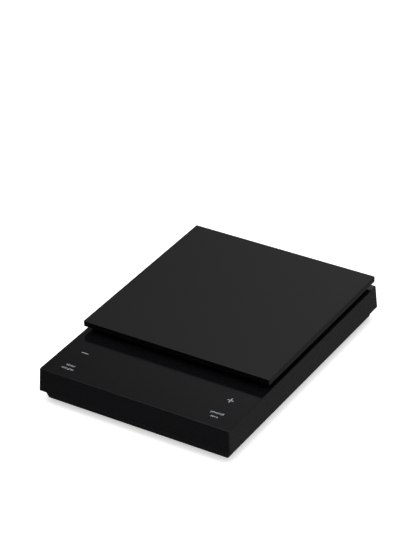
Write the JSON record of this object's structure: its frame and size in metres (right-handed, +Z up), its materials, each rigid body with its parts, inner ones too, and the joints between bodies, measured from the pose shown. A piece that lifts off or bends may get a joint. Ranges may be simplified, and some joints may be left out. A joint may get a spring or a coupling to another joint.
{
  "type": "digital kitchen scale with timer",
  "caption": "Slim black electronic kitchen scale: a square weighing plate floats above a drafted box housing with a touch-key control panel in front.",
  "frame": {"origin": "centre of the bounding box at its bottom: on the surface the scale stands on, under the middle of the housing", "axes": "+Z up, the control panel faces -Y, +X is to the right of someone facing the panel"},
  "size_m": [0.1324, 0.1788, 0.0303],
  "materials": {
    "plate_plastic": "satin black moulded ABS",
    "silicone": "translucent grey moulded silicone",
    "carrier_alloy": "black anodised die-cast aluminium",
    "screw_steel": "zinc-plated steel",
    "black_screw_steel": "black-oxide steel",
    "cell_aluminium": "milled clear-anodised aluminium",
    "gauge_coating": "white silicone coating",
    "shell_plastic": "semi-gloss black moulded ABS",
    "tray_plastic": "matt black moulded ABS",
    "foot_rubber": "matt black rubber",
    "board_laminate": "green solder mask on glass epoxy",
    "chip_resin": "matt black moulding resin",
    "display_housing": "dark grey display housing",
    "diffuser_film": "translucent white diffuser",
    "socket_nylon": "natural nylon",
    "spring_steel": "nickel-plated spring steel",
    "battery_wrap": "plain blue printed sleeve over a steel can",
    "cable_jacket": "grey PVC",
    "red_insulation": "red PVC",
    "black_insulation": "black PVC"
  },
  "bodies": {
    "housing": {"load_cell_screw_1": "screw_steel", "load_cell_screw_2": "screw_steel", "board_screw_1": "screw_steel", "board_screw_2": "screw_steel", "board_screw_3": "screw_steel", "board_screw_4": "screw_steel", "overload_stop_screw": "black_screw_steel", "case_screw_1": "black_screw_steel", "case_screw_2": "black_screw_steel", "case_screw_3": "black_screw_steel", "case_screw_4": "black_screw_steel", "case_screw_5": "black_screw_steel", "case_screw_6": "black_screw_steel", "load_cell": "cell_aluminium", "gauge_cover_upper": "gauge_coating", "gauge_cover_lower": "gauge_coating", "lead_potting": "gauge_coating", "top_shell": "shell_plastic", "base_tray": "tray_plastic", "foot_1": "foot_rubber", "foot_2": "foot_rubber", "foot_3": "foot_rubber", "foot_4": "foot_rubber", "main_board": "board_laminate", "controller_chip": "chip_resin", "converter_chip": "chip_resin", "buzzer": "chip_resin", "display_module": "display_housing", "display_diffuser": "diffuser_film", "load_cell_socket": "socket_nylon", "battery_socket": "socket_nylon", "touch_spring_left": "spring_steel", "touch_spring_minus": "spring_steel", "touch_spring_right": "spring_steel", "touch_spring_plus": "spring_steel", "battery_contact_positive": "spring_steel", "battery_contact_negative": "spring_steel", "battery_link": "spring_steel", "battery_1": "battery_wrap", "battery_2": "battery_wrap", "load_cell_cable": "cable_jacket", "battery_lead_positive": "red_insulation", "battery_lead_negative": "black_insulation"},
    "carrier": {"plate_carrier": "carrier_alloy", "plate_pad_1": "silicone", "plate_pad_2": "silicone", "plate_pad_3": "silicone", "plate_pad_4": "silicone", "carrier_screw_1": "screw_steel", "carrier_screw_2": "screw_steel"},
    "plate": {"weighing_plate": "plate_plastic"},
    "door": {"battery_door": "tray_plastic"}
  },
  "joints": [
    {"name": "plate_travel", "type": "slide", "parent": "housing", "child": "carrier", "axis": [0, 0, 1], "range_m": [-0.0005, 0], "stiffness_N_per_m": 40000, "deforming": ["load_cell"]},
    {"name": "plate_lift", "type": "slide", "parent": "carrier", "child": "plate", "axis": [0, 0, 1], "range_m": [0, 0.015]},
    {"name": "battery_door_hinge", "type": "hinge", "parent": "housing", "child": "door", "pos_m": [-0.02745, 0.04925, 0.0015], "axis": [1, 0, 0], "range_deg": [0, 90]}
  ]
}
